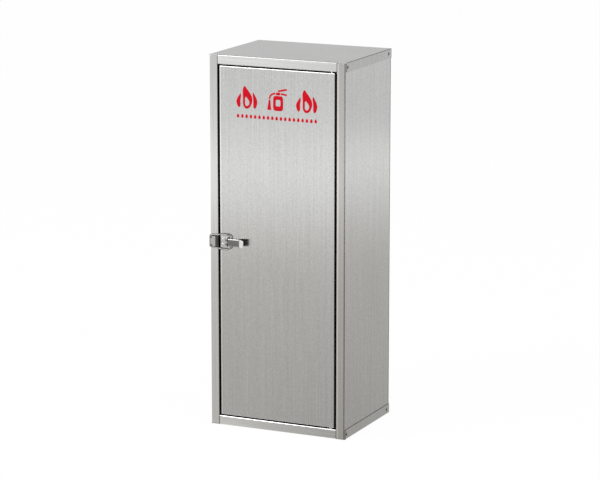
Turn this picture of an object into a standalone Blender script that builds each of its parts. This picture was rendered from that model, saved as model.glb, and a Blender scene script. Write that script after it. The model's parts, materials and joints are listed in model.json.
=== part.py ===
"""Free-standing stainless steel cabinet for one portable fire extinguisher.

Folded sheet body with a cap and a base tray, a flush door on two pivot pins
at the right, and a wire draw latch at the left. Metres, +Z up, the front
looks along -Y, and the origin is at the middle of the underside.
"""
import math

import bmesh
import bpy
from mathutils import Matrix, Vector

# Body of the cabinet
WIDTH = 0.275
DEPTH = 0.210
HEIGHT = 0.700
SHEET = 0.0010
BEND = 0.0015
SEAT = 0.0003
EDGE_HEIGHT = 0.0175
LIP_DEPTH = 0.014
STILE_WIDTH = 0.0167
CORNER_DEPTH = 0.004
RELIEF = 0.0008
REAR_FLANGE = 0.015
STOP_WIDTH = 0.011

# Door and its pivot pins
SIDE_GAP = 0.0035
END_GAP = 0.0025
DOOR_DEPTH = 0.012
DOOR_LIP = 0.010
PIVOT_INSET = 0.0085
PIVOT_SETBACK = 0.005
PIN_RADIUS = 0.0022
PIN_PLAY = 0.0005
PIN_HEAD_RADIUS = 0.0035
PIN_HEAD_HEIGHT = 0.0025
WASHER_RADIUS = 0.0042
PIN_REACH = 0.008

# Rubber strip that the door closes on
SEAL_WIDTH = 0.008
SEAL_THICKNESS = 0.0034
SEAL_END_CLEARANCE = 0.002

# Strike on the left stile
LATCH_HEIGHT = 0.352
STRIKE_INSET = 0.0003
STRIKE_RISE = 0.0060
STRIKE_SLOPE = math.radians(53)
STRIKE_LENGTH = 0.0141
STRIKE_HEIGHT = 0.0184
STRIKE_BEND = 0.0014

# Latch on the door
LEAF_INSET = 0.0017
BARREL_INSET = 0.016
BARREL_RISE = 0.0050
KNUCKLE_RADIUS = 0.0023
KNUCKLE_ROLL = 290
BASE_HEIGHT = 0.016
MIDDLE_KNUCKLE = 0.0052
KNUCKLE_PLAY = 0.0003
LATCH_PIN_RADIUS = 0.0010
RIVET_HEAD_RADIUS = 0.0019
RIVET_FACE_RADIUS = 0.0013
RIVET_HEAD_HEIGHT = 0.0007
LEVER_HEIGHT = 0.014
LEVER_LENGTH = 0.0223
LEVER_SETBACK = 0.0032
LEVER_SIDE_DEPTH = 0.0055
TAB_ANGLE = 30
TAB_LENGTH = 0.0115
TAB_BEND = 0.0030
TAB_CORNER = 0.0030
BAIL_ARM = 0.0070
BAIL_DROP = 0.0007
WIRE_RADIUS = 0.00125
WIRE_PLAY = 0.00035
WIRE_CATCH = 0.0030

# Wire loop, seen from the front: half its height at each bend, and how far along the bend is
BAIL_END = 0.0048
BAIL_HALF_HEIGHT = 0.0110
BAIL_HALF_BOW = 0.0140
BAIL_HALF_WAIST = 0.0118
BAIL_BOW_START = 0.0065
BAIL_BOW_END = 0.0180
BAIL_WAIST = 0.0300
BAIL_END_BEND = 0.0020
BAIL_BOW_BEND = 0.0060
BAIL_WAIST_BEND = 0.0160
BAIL_CORNER_BEND = 0.0022

# Fineness of the round shapes
BEND_STEPS = 3
DEGREES_A_STEP = 22
ROLL_STEPS = 14
CORNER_STEPS = 4
ROUND_SIDES = 24
WIRE_FINENESS = 3
SMOOTH_ANGLE = math.radians(35)

# Places worked out from the sizes above
HALF_WIDTH = WIDTH / 2
FRONT = -DEPTH / 2
BACK = DEPTH / 2
PANEL_SIDE = HALF_WIDTH - SHEET - SEAT
PANEL_BOTTOM = SHEET + SEAT
PANEL_TOP = HEIGHT - SHEET - SEAT
OPENING_SIDE = PANEL_SIDE - STILE_WIDTH
DOOR_SIDE = OPENING_SIDE - SIDE_GAP
DOOR_BOTTOM = EDGE_HEIGHT + END_GAP
DOOR_TOP = HEIGHT - EDGE_HEIGHT - END_GAP
DOOR_REAR = FRONT + DOOR_DEPTH
PIVOT = Vector((DOOR_SIDE - PIVOT_INSET, FRONT + PIVOT_SETBACK, 0))
REAR_SHEET_OUTER = BACK - SHEET - SEAT
PANEL_REAR = REAR_SHEET_OUTER - SHEET - SEAT
STOP_FACE = DOOR_REAR + SEAT + SEAL_THICKNESS + SEAT
STRIKE_END = OPENING_SIDE + STRIKE_INSET + STRIKE_LENGTH
BARREL = Vector((BARREL_INSET - DOOR_SIDE, FRONT - BARREL_RISE, LATCH_HEIGHT))
BAIL_PIVOT = BARREL + Vector((BAIL_ARM, BAIL_DROP, 0))
CROSSBAR = Vector((-STRIKE_END - WIRE_PLAY - WIRE_RADIUS, FRONT - WIRE_CATCH, LATCH_HEIGHT))


def clear_scene():
    """Remove whatever the open file holds."""
    for item in list(bpy.data.objects):
        bpy.data.objects.remove(item, do_unlink=True)


def new_collection(name):
    group = bpy.data.collections.new(name)
    bpy.context.scene.collection.children.link(group)
    return group


def finish(name, colour, roughness, metallic):
    """One Principled material in the colour that the photograph shows."""
    material = bpy.data.materials.new(name)
    material.use_nodes = True
    shader = material.node_tree.nodes["Principled BSDF"]
    shader.inputs["Base Color"].default_value = (*colour, 1.0)
    shader.inputs["Roughness"].default_value = roughness
    shader.inputs["Metallic"].default_value = metallic
    return material


def add_object(name, data, group, material, place=(0, 0, 0)):
    piece = bpy.data.objects.new(name, data)
    piece.location = place
    group.objects.link(piece)
    if material is not None:
        data.materials.append(material)
    return piece


def to_mesh(bm, name):
    """Mesh whose bends are shaded smooth and whose corners stay sharp."""
    mesh = bpy.data.meshes.new(name)
    bm.to_mesh(mesh)
    bm.free()
    mesh.shade_smooth()
    mesh.set_sharp_from_angle(angle=SMOOTH_ANGLE)
    return mesh


def thicken(piece, offset=-1, thickness=SHEET):
    """Give the open sheet its thickness; -1 grows it behind its faces."""
    wall = piece.modifiers.new("wall", "SOLIDIFY")
    wall.thickness = thickness
    wall.offset = offset
    wall.use_even_offset = True
    return wall


def cut(piece, cutter):
    hole = piece.modifiers.new("cut", "BOOLEAN")
    hole.operation = "DIFFERENCE"
    hole.solver = "EXACT"
    hole.object = cutter


def face_towards(bm, face, direction):
    """Turn the whole open sheet so that the given face looks along direction."""
    bmesh.ops.recalc_face_normals(bm, faces=bm.faces)
    face.normal_update()
    if face.normal.dot(Vector(direction)) < 0:
        bmesh.ops.reverse_faces(bm, faces=bm.faces)


def fold(bm, edges, centre, axis, degrees, steps=BEND_STEPS):
    """Bend the sheet on from its free edges round an axis, and return the new free edges."""
    bent = bmesh.ops.spin(bm, geom=edges, cent=centre, axis=axis,
                          angle=math.radians(degrees), steps=steps)
    return [item for item in bent["geom_last"] if isinstance(item, bmesh.types.BMEdge)]


def extend(bm, edges, move):
    """Carry the sheet straight on from its free edges, and return the new free edges."""
    grown = bmesh.ops.extrude_edge_only(bm, edges=edges)["geom"]
    ends = [item for item in grown if isinstance(item, bmesh.types.BMVert)]
    bmesh.ops.translate(bm, verts=ends, vec=move)
    return [item for item in grown
            if isinstance(item, bmesh.types.BMEdge) and all(end in ends for end in item.verts)]


def sheet_outline(bm, points):
    """One flat face through the points, and its edges in the same order."""
    corners = [bm.verts.new(point) for point in points]
    face = bm.faces.new(corners)
    edges = [bm.edges.get((corner, corners[(index + 1) % len(corners)]))
             for index, corner in enumerate(corners)]
    return face, edges


def walk(start, heading, steps):
    """Points of a folded section in plan: straight runs, and turns of a given radius.

    A run is ("run", length) and a turn is ("turn", degrees, radius), with a
    positive turn to the left. Headings count from +X towards +Y.
    """
    place = Vector(start)
    angle = math.radians(heading)
    points = [place.copy()]
    for step in steps:
        if step[0] == "run":
            place = place + Vector((math.cos(angle), math.sin(angle))) * step[1]
            points.append(place.copy())
            continue
        turn = math.radians(step[1])
        side = math.copysign(1, turn)
        to_centre = Vector((-math.sin(angle), math.cos(angle))) * side * step[2]
        centre = place + to_centre
        parts = max(BEND_STEPS, round(abs(step[1]) / DEGREES_A_STEP))
        for part in range(1, parts + 1):
            arm = Matrix.Rotation(turn * part / parts, 2) @ -to_centre
            points.append(centre + arm)
        place = points[-1].copy()
        angle += turn
    return points


def section_mesh(name, points, low, high, mirror=False):
    """Open sheet with the section in plan, from low to high, looking left of the walk."""
    bm = bmesh.new()
    side = -1 if mirror else 1
    corners = [bm.verts.new((side * point.x, point.y, low)) for point in points]
    edges = [bm.edges.new(pair) for pair in zip(corners[:-1], corners[1:])]
    extend(bm, edges, (0, 0, high - low))
    step = points[1] - points[0]
    face_towards(bm, corners[0].link_faces[0], (-side * step.y, step.x, 0))
    return to_mesh(bm, name)


def turned(name, profile, group, material, place):
    """Round piece from a profile of (radius, height) pairs, listed top to bottom."""
    bm = bmesh.new()
    points = [bm.verts.new((radius, 0, height)) for radius, height in profile]
    for pair in zip(points[:-1], points[1:]):
        bm.edges.new(pair)
    piece = add_object(name, to_mesh(bm, name), group, material, place)
    screw = piece.modifiers.new("turn", "SCREW")
    screw.axis = "Z"
    screw.steps = ROUND_SIDES
    screw.render_steps = ROUND_SIDES
    screw.use_merge_vertices = True
    screw.merge_threshold = 0.00001
    screw.use_smooth_shade = True
    return piece


def cutter_block(name, low, high, group):
    """Box between two corners, used only to cut."""
    bm = bmesh.new()
    bmesh.ops.create_cube(bm, size=1)
    low, high = Vector(low), Vector(high)
    bmesh.ops.scale(bm, vec=high - low, verts=bm.verts)
    bmesh.ops.translate(bm, vec=(low + high) / 2, verts=bm.verts)
    return as_cutter(add_object(name, to_mesh(bm, name), group, None))


def cutter_rod(name, radius, place, length, group):
    """Upright round rod centred on place, used only to cut."""
    bm = bmesh.new()
    bmesh.ops.create_cone(bm, cap_ends=True, segments=ROUND_SIDES, radius1=radius,
                          radius2=radius, depth=length)
    return as_cutter(add_object(name, to_mesh(bm, name), group, None, place))


def as_cutter(piece):
    piece.hide_render = True
    piece.display_type = "WIRE"
    return piece


def edge_tray_mesh(name):
    """Cap seen from above: a plate with its front edge folded down and back, and its sides
    and rear folded down. The front corners stay flat over the ends of the stiles."""
    front_reach = OPENING_SIDE - SEAT
    flat_side = HALF_WIDTH - BEND
    flat_front = FRONT + BEND
    flat_back = BACK - BEND
    side_start = FRONT + CORNER_DEPTH
    right = [(front_reach, flat_front), (front_reach + RELIEF, flat_front),
             (front_reach + RELIEF, FRONT), (HALF_WIDTH, FRONT), (HALF_WIDTH, side_start),
             (flat_side, side_start), (flat_side, side_start + RELIEF), (flat_side, flat_back)]
    left = [(-x, y) for x, y in reversed(right)]
    bm = bmesh.new()
    plate, edges = sheet_outline(bm, [(x, y, 0) for x, y in right + left])
    right_side, rear, left_side, front = edges[6], edges[7], edges[8], edges[15]

    edge = fold(bm, [front], (0, flat_front, -BEND), (1, 0, 0), 90)
    edge = extend(bm, edge, (0, 0, 2 * BEND - EDGE_HEIGHT))
    edge = fold(bm, edge, (0, flat_front, BEND - EDGE_HEIGHT), (1, 0, 0), 90)
    extend(bm, edge, (0, LIP_DEPTH - BEND, 0))
    for start, centre, axis, degrees in (
            (right_side, (flat_side, 0, -BEND), (0, 1, 0), 90),
            (left_side, (-flat_side, 0, -BEND), (0, 1, 0), -90),
            (rear, (0, flat_back, -BEND), (1, 0, 0), -90)):
        edge = fold(bm, [start], centre, axis, degrees)
        extend(bm, edge, (0, 0, BEND - EDGE_HEIGHT))
    face_towards(bm, plate, (0, 0, 1))
    return to_mesh(bm, name)


def build_trays(group, cutters, steel):
    """Cap and base tray: the same folding, the tray turned over."""
    hole = cutter_rod("pin_hole_cutter", PIN_RADIUS + SEAT,
                      (PIVOT.x, PIVOT.y, HEIGHT / 2), HEIGHT - 6 * SHEET, cutters)
    top = add_object("top_cap", edge_tray_mesh("top_cap"), group, steel, (0, 0, HEIGHT))
    bottom = add_object("bottom_tray", edge_tray_mesh("bottom_tray"), group, steel)
    bottom.rotation_euler.y = math.pi
    for piece in (top, bottom):
        thicken(piece)
        cut(piece, hole)


def build_side_panels(group, steel):
    """Each side with its rear flange and its stile in one sheet; the left one ends in a stop."""
    section = [("run", REAR_FLANGE - BEND), ("turn", -90, BEND),
               ("run", PANEL_REAR - FRONT - 2 * BEND), ("turn", -90, BEND),
               ("run", STILE_WIDTH - 2 * BEND), ("turn", -90, BEND)]
    lip = [("run", LIP_DEPTH - BEND)]
    inner_bend = BEND - SHEET
    stop = [("run", STOP_FACE - FRONT - BEND - inner_bend), ("turn", 90, inner_bend),
            ("run", STOP_WIDTH - inner_bend)]
    start = (PANEL_SIDE - REAR_FLANGE, PANEL_REAR)
    for name, end, mirror in (("right_side_panel", lip, False), ("left_side_panel", stop, True)):
        points = walk(start, 0, section + end)
        mesh = section_mesh(name, points, PANEL_BOTTOM, PANEL_TOP, mirror)
        thicken(add_object(name, mesh, group, steel))


def build_back_panel(group, steel):
    """Flat rear sheet between the rear flanges and the edges of the cap and tray."""
    bm = bmesh.new()
    low, high = PANEL_BOTTOM, PANEL_TOP
    sheet, _ = sheet_outline(bm, [(-PANEL_SIDE, 0, low), (PANEL_SIDE, 0, low),
                                  (PANEL_SIDE, 0, high), (-PANEL_SIDE, 0, high)])
    face_towards(bm, sheet, (0, 1, 0))
    place = (0, REAR_SHEET_OUTER, 0)
    thicken(add_object("back_panel", to_mesh(bm, "back_panel"), group, steel, place))


def build_seal(group, rubber):
    """Rubber strip on the stop, with its edges rounded."""
    height = DOOR_TOP - DOOR_BOTTOM - 2 * SEAL_END_CLEARANCE
    bm = bmesh.new()
    bmesh.ops.create_cube(bm, size=1)
    bmesh.ops.scale(bm, vec=(SEAL_WIDTH, SEAL_THICKNESS, height), verts=bm.verts)
    upright = [edge for edge in bm.edges
               if abs(edge.verts[0].co.z - edge.verts[1].co.z) > height / 2]
    bmesh.ops.bevel(bm, geom=upright, offset=SEAL_THICKNESS / 4, segments=3, profile=0.5,
                    affect="EDGES")
    place = (-OPENING_SIDE + SHEET + SEAL_WIDTH / 2, STOP_FACE - SEAT - SEAL_THICKNESS / 2,
             (DOOR_TOP + DOOR_BOTTOM) / 2)
    add_object("door_seal", to_mesh(bm, "door_seal"), group, rubber, place)


def build_door(group, cutters, steel, hinge):
    """Flush door: a shallow pan with its edges folded back and then inwards."""
    size = Vector((2 * DOOR_SIDE, DOOR_DEPTH, DOOR_TOP - DOOR_BOTTOM))
    bm = bmesh.new()
    bmesh.ops.create_cube(bm, size=1)
    bmesh.ops.scale(bm, vec=size, verts=bm.verts)
    middle = Vector((0, FRONT + DOOR_DEPTH / 2, (DOOR_TOP + DOOR_BOTTOM) / 2)) - hinge.location
    bmesh.ops.translate(bm, vec=middle, verts=bm.verts)
    rear = [face for face in bm.faces if face.normal.y > 0.5]
    bmesh.ops.inset_region(bm, faces=rear, thickness=DOOR_LIP, use_even_offset=True)
    bmesh.ops.delete(bm, geom=rear, context="FACES_ONLY")
    door = add_object("door_panel", to_mesh(bm, "door_panel"), group, steel)
    door.parent = hinge
    bends = door.modifiers.new("bends", "BEVEL")
    bends.width = BEND
    bends.segments = BEND_STEPS
    bends.limit_method = "ANGLE"
    bends.angle_limit = math.radians(40)
    thicken(door)
    cut(door, cutter_rod("door_hole_cutter", PIN_RADIUS + PIN_PLAY,
                         (PIVOT.x, PIVOT.y, HEIGHT / 2), HEIGHT, cutters))


def build_pivots(group, bright):
    """Headed pins through the lips of the cap and tray, and the washer that carries the door."""
    lip_top = HEIGHT - EDGE_HEIGHT + SHEET
    top_of_head = lip_top + SEAT + PIN_HEAD_HEIGHT
    end = DOOR_TOP - PIN_REACH
    chamfer = PIN_RADIUS / 3
    turned("upper_pivot_pin", [
        (0, top_of_head), (PIN_HEAD_RADIUS - chamfer, top_of_head),
        (PIN_HEAD_RADIUS, top_of_head - chamfer), (PIN_HEAD_RADIUS, lip_top + SEAT),
        (PIN_RADIUS, lip_top + SEAT), (PIN_RADIUS, end + chamfer),
        (PIN_RADIUS - chamfer, end), (0, end)], group, bright, (PIVOT.x, PIVOT.y, 0))
    lip_bottom = EDGE_HEIGHT - SHEET
    bottom_of_head = lip_bottom - SEAT - PIN_HEAD_HEIGHT
    end = DOOR_BOTTOM + PIN_REACH
    turned("lower_pivot_pin", [
        (0, end), (PIN_RADIUS - chamfer, end), (PIN_RADIUS, end - chamfer),
        (PIN_RADIUS, lip_bottom - SEAT), (PIN_HEAD_RADIUS, lip_bottom - SEAT),
        (PIN_HEAD_RADIUS, bottom_of_head + chamfer),
        (PIN_HEAD_RADIUS - chamfer, bottom_of_head), (0, bottom_of_head)],
        group, bright, (PIVOT.x, PIVOT.y, 0))
    high, low = DOOR_BOTTOM - SEAT, EDGE_HEIGHT + SEAT
    inner = PIN_RADIUS + SEAT
    turned("pivot_washer", [
        (inner, high), (WASHER_RADIUS, high), (WASHER_RADIUS, low), (inner, low),
        (inner, high)], group, bright, (PIVOT.x, PIVOT.y, 0))


def build_strike(group, bright):
    """Bridge of bent sheet on the left stile: a ramp from the door side, a flat top, and
    the wall that the wire catches."""
    foot = SEAT + SHEET * math.cos(STRIKE_SLOPE)
    slope_out = 180 + math.degrees(STRIKE_SLOPE)
    bend_reach = STRIKE_BEND * math.tan(STRIKE_SLOPE / 2)
    ramp = (STRIKE_RISE - foot) / math.sin(STRIKE_SLOPE) - bend_reach
    ramp_run = (STRIKE_RISE - foot) / math.tan(STRIKE_SLOPE)
    top = STRIKE_LENGTH - ramp_run - bend_reach - STRIKE_BEND
    points = walk((-OPENING_SIDE - STRIKE_INSET, FRONT - foot), slope_out, [
        ("run", ramp), ("turn", -math.degrees(STRIKE_SLOPE), STRIKE_BEND), ("run", top),
        ("turn", -90, STRIKE_BEND), ("run", STRIKE_RISE - STRIKE_BEND - SEAT)])
    half = STRIKE_HEIGHT / 2
    mesh = section_mesh("strike", points, LATCH_HEIGHT - half, LATCH_HEIGHT + half)
    thicken(add_object("strike", mesh, group, bright))


def build_latch_base(group, cutters, bright, hinge):
    """Leaf on the door whose edge rises and rolls into the two outer knuckles."""
    inner_bend = BEND - SHEET
    start = Vector((LEAF_INSET - DOOR_SIDE, FRONT - SEAT - SHEET))
    rise = BARREL_RISE - SEAT - SHEET - inner_bend
    leaf = BARREL.x - KNUCKLE_RADIUS - inner_bend - start.x
    points = walk(start, 0, [("run", leaf), ("turn", -90, inner_bend), ("run", rise),
                             ("turn", KNUCKLE_ROLL, KNUCKLE_RADIUS)])
    points = [point - hinge.location.xy for point in points]
    half = BASE_HEIGHT / 2
    mesh = section_mesh("latch_base", points, LATCH_HEIGHT - half, LATCH_HEIGHT + half)
    base = add_object("latch_base", mesh, group, bright)
    base.parent = hinge
    thicken(base, offset=1)
    gap = MIDDLE_KNUCKLE / 2 + KNUCKLE_PLAY
    reach = KNUCKLE_RADIUS + BEND + KNUCKLE_PLAY
    cut(base, cutter_block(
        "knuckle_gap_cutter",
        (BARREL.x - reach, BARREL.y - reach, LATCH_HEIGHT - gap),
        (BARREL.x + reach, FRONT - SEAT - SHEET - inner_bend, LATCH_HEIGHT + gap), cutters))


def build_latch_pin(group, bright, hinge):
    """Riveted pin through the three knuckles."""
    reach = BASE_HEIGHT / 2 + SEAT
    head = reach + RIVET_HEAD_HEIGHT
    pin = turned("latch_pin", [
        (0, head), (RIVET_FACE_RADIUS, head), (RIVET_HEAD_RADIUS, reach), (LATCH_PIN_RADIUS, reach),
        (LATCH_PIN_RADIUS, -reach), (RIVET_HEAD_RADIUS, -reach), (RIVET_FACE_RADIUS, -head),
        (0, -head)],
        group, bright, BARREL - hinge.location)
    pin.parent = hinge


def build_lever(group, cutters, bright, axle):
    """Channel lever: its left tongue rolls round the pin, its sides fold towards the door
    and its right end bends out into the finger tab."""
    face = -KNUCKLE_RADIUS
    start = LEVER_SETBACK
    end = start + LEVER_LENGTH
    tongue = MIDDLE_KNUCKLE / 2
    side = LEVER_HEIGHT / 2
    flat = side - BEND
    upper = [(0, tongue), (start, tongue), (start, flat), (end - RELIEF, flat),
             (end - RELIEF, side), (end, side)]
    lower = [(x, -z) for x, z in reversed(upper)]
    bm = bmesh.new()
    plate, edges = sheet_outline(bm, [(x, face, z) for x, z in upper + lower])
    upper_side, tab, lower_side, left = edges[2], edges[5], edges[8], edges[11]

    for start_edge, height, turn in ((upper_side, flat, 90), (lower_side, -flat, -90)):
        edge = fold(bm, [start_edge], (0, face + BEND, height), (1, 0, 0), -turn)
        extend(bm, edge, (0, LEVER_SIDE_DEPTH - BEND, 0))
    edge = fold(bm, [tab], (end, face - TAB_BEND, 0), (0, 0, 1), -TAB_ANGLE)
    slope = math.radians(TAB_ANGLE)
    edge = extend(bm, edge, Vector((math.cos(slope), -math.sin(slope), 0)) * TAB_LENGTH)
    fold(bm, [left], (0, 0, 0), (0, 0, 1), -KNUCKLE_ROLL, ROLL_STEPS)
    bmesh.ops.bevel(bm, geom=list(edge[0].verts), offset=TAB_CORNER, segments=CORNER_STEPS,
                    profile=0.5, affect="VERTICES")
    face_towards(bm, plate, (0, -1, 0))
    lever = add_object("latch_lever", to_mesh(bm, "latch_lever"), group, bright)
    lever.parent = axle
    thicken(lever)
    cut(lever, cutter_rod("bail_hole_cutter", WIRE_RADIUS + WIRE_PLAY, BAIL_PIVOT,
                          LEVER_HEIGHT + BEND, cutters))


def rounded_path(corners):
    """Points of a bent wire: (x, z, radius) corners, each replaced by an arc."""
    points = []
    for index, (x, z, radius) in enumerate(corners):
        here = Vector((x, z))
        if radius == 0:
            points.append(here)
            continue
        before = Vector(corners[index - 1][:2]) - here
        after = Vector(corners[index + 1][:2]) - here
        half = before.angle(after) / 2
        reach = radius / math.tan(half)
        centre = here + (before.normalized() + after.normalized()).normalized() \
            * radius / math.sin(half)
        first = here + before.normalized() * reach - centre
        sweep = first.angle_signed(here + after.normalized() * reach - centre)
        for step in range(CORNER_STEPS + 1):
            points.append(centre + Matrix.Rotation(-sweep * step / CORNER_STEPS, 2) @ first)
    return points


def build_bail(group, bright, axle):
    """Wire loop: its ends turn into the sides of the lever, it bows out round the barrel
    and closes in a straight crossbar behind the strike."""
    reach = CROSSBAR - BAIL_PIVOT
    length = math.hypot(reach.x, reach.y)
    upper = [(0, BAIL_END, 0), (0, BAIL_HALF_HEIGHT, BAIL_END_BEND),
             (-BAIL_BOW_START, BAIL_HALF_BOW, BAIL_BOW_BEND),
             (-BAIL_BOW_END, BAIL_HALF_BOW, BAIL_WAIST_BEND),
             (-BAIL_WAIST, BAIL_HALF_WAIST, BAIL_WAIST_BEND),
             (-length, BAIL_HALF_HEIGHT, BAIL_CORNER_BEND)]
    lower = [(x, -z, radius) for x, z, radius in reversed(upper)]
    points = rounded_path(upper + lower)
    curve = bpy.data.curves.new("latch_bail", "CURVE")
    curve.dimensions = "3D"
    curve.bevel_depth = WIRE_RADIUS
    curve.bevel_resolution = WIRE_FINENESS
    curve.use_fill_caps = True
    wire = curve.splines.new("POLY")
    wire.points.add(len(points) - 1)
    for knot, point in zip(wire.points, points):
        knot.co = (point.x, 0, point.y, 1)
    bail = add_object("latch_bail", curve, group, bright)
    bail.parent = axle
    bail.location = BAIL_PIVOT - BARREL
    bail.rotation_euler.z = math.atan2(-reach.y, -reach.x)


def main():
    clear_scene()
    group = new_collection("fire_extinguisher_cabinet")
    cutters = new_collection("cutters")
    steel = finish("brushed_stainless", (0.56, 0.56, 0.55), 0.35, 1.0)
    bright = finish("bright_stainless", (0.62, 0.61, 0.59), 0.22, 1.0)
    rubber = finish("black_rubber", (0.02, 0.02, 0.02), 0.7, 0.0)

    door_hinge = add_object("door_hinge_axis", None, group, None, PIVOT)
    latch_axle = add_object("latch_axle", None, group, None, BARREL - PIVOT)
    latch_axle.parent = door_hinge

    build_trays(group, cutters, steel)
    build_side_panels(group, steel)
    build_back_panel(group, steel)
    build_seal(group, rubber)
    build_pivots(group, bright)
    build_strike(group, bright)
    build_door(group, cutters, steel, door_hinge)
    build_latch_base(group, cutters, bright, door_hinge)
    build_latch_pin(group, bright, door_hinge)
    build_lever(group, cutters, bright, latch_axle)
    build_bail(group, bright, latch_axle)


main()
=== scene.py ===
# %% [markdown]
# # A steel fire extinguisher cabinet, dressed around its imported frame
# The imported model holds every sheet, pin and wire of the cabinet at its real size. This script
# gives them their looks: brushed steel with soft bends, a drawn wire latch, flush screws and red
# marks on the door. Each step says what the piece or finish is on the real object before the code
# makes it.

# %% Load the frame
import json
import math

import bmesh
import bpy
import numpy as np
from mathutils import Matrix, Vector


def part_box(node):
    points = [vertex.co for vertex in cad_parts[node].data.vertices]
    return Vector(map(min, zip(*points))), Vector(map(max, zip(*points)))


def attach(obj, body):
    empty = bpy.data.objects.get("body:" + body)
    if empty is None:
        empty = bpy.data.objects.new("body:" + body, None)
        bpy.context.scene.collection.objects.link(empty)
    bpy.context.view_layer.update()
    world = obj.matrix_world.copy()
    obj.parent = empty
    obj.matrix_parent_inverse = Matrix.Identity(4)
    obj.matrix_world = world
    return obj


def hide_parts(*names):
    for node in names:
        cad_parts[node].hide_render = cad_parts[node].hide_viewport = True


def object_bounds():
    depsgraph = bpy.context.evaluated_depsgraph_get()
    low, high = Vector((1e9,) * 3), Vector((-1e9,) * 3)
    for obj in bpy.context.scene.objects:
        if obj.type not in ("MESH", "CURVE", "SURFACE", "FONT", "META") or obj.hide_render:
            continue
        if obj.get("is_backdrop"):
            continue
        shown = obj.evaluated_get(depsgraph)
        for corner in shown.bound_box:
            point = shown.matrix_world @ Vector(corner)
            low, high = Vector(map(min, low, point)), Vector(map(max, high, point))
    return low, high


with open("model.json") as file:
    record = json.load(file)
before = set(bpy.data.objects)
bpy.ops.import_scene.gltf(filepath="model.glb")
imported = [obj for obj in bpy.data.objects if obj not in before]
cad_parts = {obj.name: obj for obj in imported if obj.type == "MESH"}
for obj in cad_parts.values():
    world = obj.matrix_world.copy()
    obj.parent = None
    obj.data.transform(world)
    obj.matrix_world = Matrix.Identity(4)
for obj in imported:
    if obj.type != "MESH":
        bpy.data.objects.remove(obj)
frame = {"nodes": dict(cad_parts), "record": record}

X, Y, Z = range(3)
cad_low, cad_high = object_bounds()
print("cabinet box in mm:", [round(1000 * v, 1) for v in (*cad_low, *cad_high)])

# %% [markdown]
# ## Camera
# The photograph was taken from the front right and a little above, with a long lens. Seven corners
# of the body were read in the picture, and a camera with no shift was fitted to them. The picture's
# upright edges were straightened afterwards, so the fit leaves a pixel or two at the corners.

# %% Camera
PICTURE_WIDTH = 600
SENSOR_WIDTH = 36
FOCAL_PIXELS = 2747
AZIMUTH = math.radians(24.86)
ELEVATION = math.radians(12.05)
DISTANCE = 5.134
CLIP_END = 100
AIM_RIGHT = -0.0017
AIM_UP = -0.0058

middle = Vector((0, 0, (cad_low.z + cad_high.z) / 2))
away = Vector((math.sin(AZIMUTH) * math.cos(ELEVATION), -math.cos(AZIMUTH) * math.cos(ELEVATION),
               math.sin(ELEVATION)))
sideways = Vector((0, 0, 1)).cross(away).normalized()
upwards = away.cross(sideways)

camera = bpy.data.objects.new("camera", bpy.data.cameras.new("camera"))
bpy.context.scene.collection.objects.link(camera)
bpy.context.scene.camera = camera
camera.data.sensor_width = SENSOR_WIDTH
camera.data.lens = FOCAL_PIXELS * SENSOR_WIDTH / PICTURE_WIDTH
camera.data.clip_end = CLIP_END
camera.location = middle + AIM_RIGHT * sideways + AIM_UP * upwards + DISTANCE * away
camera.rotation_euler = Matrix((sideways, upwards, away)).transposed().to_euler()
print("lens in mm:", round(camera.data.lens, 1), "at", [round(v, 3) for v in camera.location])

# %% [markdown]
# ## Shader maths
# A finish is mostly arithmetic on a few patterns, so a small class wraps a socket and turns +, -, *
# and / into Math nodes. Colours and vectors can't pass through Math nodes, so they have their own
# calls. Every other node comes from one method, which takes its type, settings and inputs, and the
# noises, the bump and the surface that most finishes end in are short calls of that method.


# %% Shader maths
class Wire:
    """A value in a node tree. Arithmetic on wires adds Math nodes to the same tree."""

    def __init__(self, tree, socket):
        self.tree, self.socket = tree, socket

    def maths(self, operation, *values):
        return self.tree.add("ShaderNodeMath", {"operation": operation}, *values)

    def __add__(self, other):
        return self.maths("ADD", self, other)

    def __sub__(self, other):
        return self.maths("SUBTRACT", self, other)

    def __rsub__(self, other):
        return self.maths("SUBTRACT", other, self)

    def __mul__(self, other):
        return self.maths("MULTIPLY", self, other)

    def __truediv__(self, other):
        return self.maths("DIVIDE", self, other)

    def __rtruediv__(self, other):
        return self.maths("DIVIDE", other, self)

    def __abs__(self):
        return self.maths("ABSOLUTE", self)

    __radd__ = __add__
    __rmul__ = __mul__

    def at_least(self, other):
        return self.maths("MAXIMUM", self, other)

    def between(self, low, high):
        """0 below low, 1 above high and a smooth rise from one to the other."""
        return self.tree.add("ShaderNodeMapRange", {"interpolation_type": "SMOOTHSTEP"},
                             self, low, high)

    def swing(self, amount):
        """The change that a pattern from 0 to 1 makes on both sides of its middle."""
        return (self - 0.5) * amount


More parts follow.
